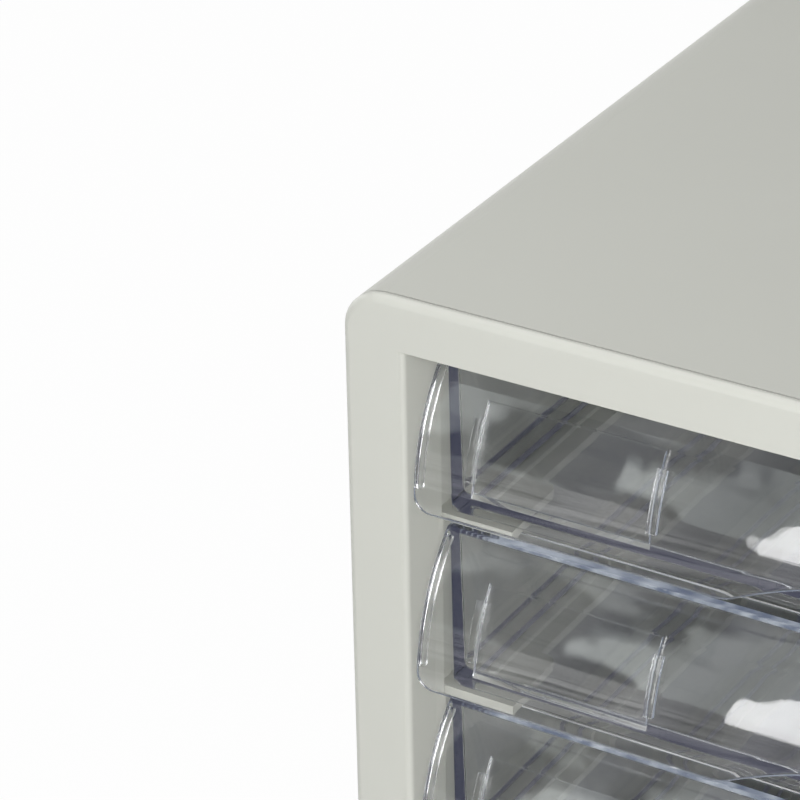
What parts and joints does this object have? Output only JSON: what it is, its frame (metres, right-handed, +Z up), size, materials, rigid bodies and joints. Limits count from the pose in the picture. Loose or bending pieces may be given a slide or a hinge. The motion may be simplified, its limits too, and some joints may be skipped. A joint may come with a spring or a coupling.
{
  "type": "desktop drawer tower",
  "caption": "Free-standing desktop drawer tower: opaque moulded casing with a stack of wide, shallow clear drawers that slide out by curved hood fronts with a finger scoop.",
  "frame": {"origin": "centre of the footprint, on the surface that the feet stand on", "axes": "+X to the right seen from the front, +Y from the drawer fronts to the back, +Z up"},
  "size_m": [0.265, 0.335, 0.3486],
  "materials": {
    "casing": "fine satin moulding texture, light warm grey",
    "liner": "plain moulded, light warm grey",
    "clear_drawer": "polished clear polystyrene with a faint blue-violet cast in thick edges",
    "clear_cover": "polished thin clear sheet",
    "foot_rubber": "matt black rubber",
    "screw_steel": "zinc plated"
  },
  "bodies": {
    "casing": {"casing_shell": "casing", "front_frame": "casing", "base_tray": "casing", "back_panel": "casing", "runner_panel_left": "liner", "runner_panel_right": "liner", "foot_front_left": "foot_rubber", "foot_front_right": "foot_rubber", "foot_rear_left": "foot_rubber", "foot_rear_right": "foot_rubber", "base_screws": "screw_steel", "back_screws": "screw_steel"},
    "drawer_1_body": {"drawer_1": "clear_drawer", "label_cover_1": "clear_cover"},
    "drawer_2_body": {"drawer_2": "clear_drawer", "label_cover_2": "clear_cover"},
    "drawer_3_body": {"drawer_3": "clear_drawer", "label_cover_3": "clear_cover"},
    "drawer_4_body": {"drawer_4": "clear_drawer", "label_cover_4": "clear_cover"},
    "drawer_5_body": {"drawer_5": "clear_drawer", "label_cover_5": "clear_cover"},
    "drawer_6_body": {"drawer_6": "clear_drawer", "label_cover_6": "clear_cover"},
    "drawer_7_body": {"drawer_7": "clear_drawer", "label_cover_7": "clear_cover"}
  },
  "joints": [
    {"name": "drawer_1_slide", "type": "slide", "parent": "casing", "child": "drawer_1_body", "axis": [0, -1, 0], "range_m": [0, 0.23]},
    {"name": "drawer_2_slide", "type": "slide", "parent": "casing", "child": "drawer_2_body", "axis": [0, -1, 0], "range_m": [0, 0.23]},
    {"name": "drawer_3_slide", "type": "slide", "parent": "casing", "child": "drawer_3_body", "axis": [0, -1, 0], "range_m": [0, 0.23]},
    {"name": "drawer_4_slide", "type": "slide", "parent": "casing", "child": "drawer_4_body", "axis": [0, -1, 0], "range_m": [0, 0.23]},
    {"name": "drawer_5_slide", "type": "slide", "parent": "casing", "child": "drawer_5_body", "axis": [0, -1, 0], "range_m": [0, 0.23]},
    {"name": "drawer_6_slide", "type": "slide", "parent": "casing", "child": "drawer_6_body", "axis": [0, -1, 0], "range_m": [0, 0.23]},
    {"name": "drawer_7_slide", "type": "slide", "parent": "casing", "child": "drawer_7_body", "axis": [0, -1, 0], "range_m": [0, 0.23]}
  ]
}
